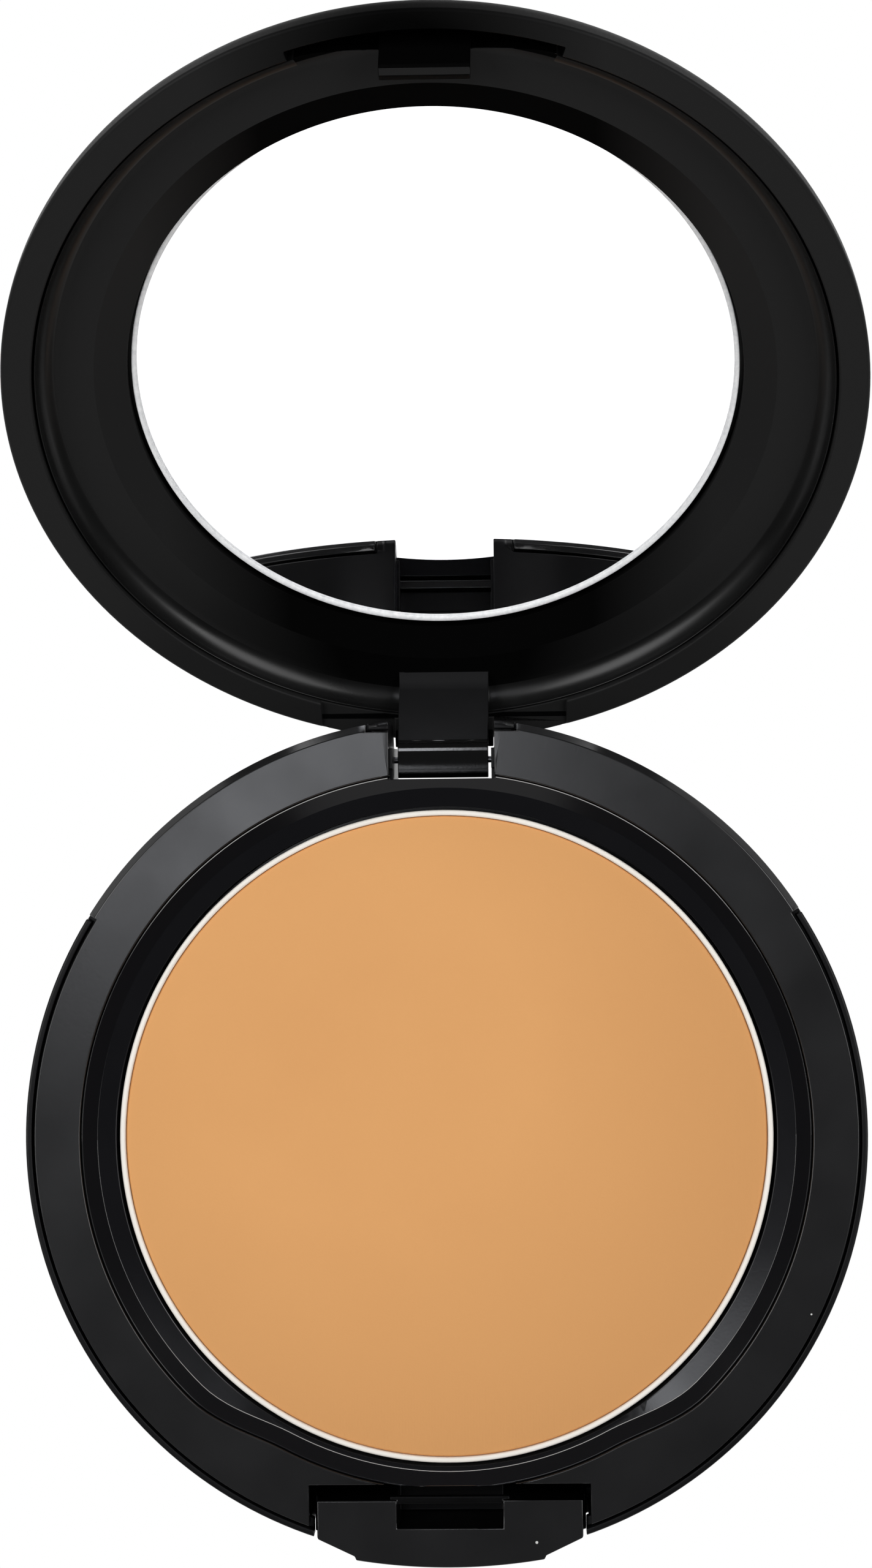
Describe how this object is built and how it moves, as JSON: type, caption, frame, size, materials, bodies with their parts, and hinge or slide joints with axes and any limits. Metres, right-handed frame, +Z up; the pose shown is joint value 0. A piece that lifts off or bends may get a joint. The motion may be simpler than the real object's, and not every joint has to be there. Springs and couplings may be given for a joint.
{
  "type": "powder compact",
  "caption": "Round black powder compact, open: deep base with a pan of pressed powder and a front release button, and a hinged lid with a round mirror.",
  "frame": {"origin": "centre of the base's underside", "axes": "+Z up out of the base, +Y towards the hinge, -Y towards the release button"},
  "size_m": [0.076, 0.1347, 0.0502],
  "materials": {
    "case_black": "gloss black moulded plastic",
    "deck_black": "satin black moulded plastic",
    "tray_black": "gloss black moulded plastic",
    "pan_metal": "pale lacquered tin",
    "powder": "pressed powder, matt tan, with a fine ribbed texture",
    "adhesive": "clear set glue",
    "steel": "dark steel wire and strip",
    "foam": "fine latex foam",
    "label": "plain dark label, no print",
    "mirror": "silvered glass with a narrow bevel"
  },
  "bodies": {
    "base": {"base_shell": "case_black", "inner_frame": "deck_black", "powder_tray": "tray_black", "powder_pan": "pan_metal", "pressed_powder": "powder", "pan_adhesive": "adhesive", "hinge_pin": "steel", "button_spring": "steel", "sponge_applicator": "foam", "base_label": "label"},
    "button": {"release_button": "deck_black"},
    "lid": {"lid_shell": "case_black", "lid_liner": "deck_black", "mirror_glass": "mirror", "mirror_adhesive": "adhesive"}
  },
  "joints": [
    {"name": "lid_hinge", "type": "hinge", "parent": "base", "child": "lid", "pos_m": [0, 0.03414, 0.01035], "axis": [-1, 0, 0], "range_deg": [-140.6, 0]},
    {"name": "button_press", "type": "slide", "parent": "base", "child": "button", "axis": [0, 1, 0], "range_m": [0, 0.0008], "stiffness_N_per_m": 400, "deforming": ["button_spring"]}
  ]
}
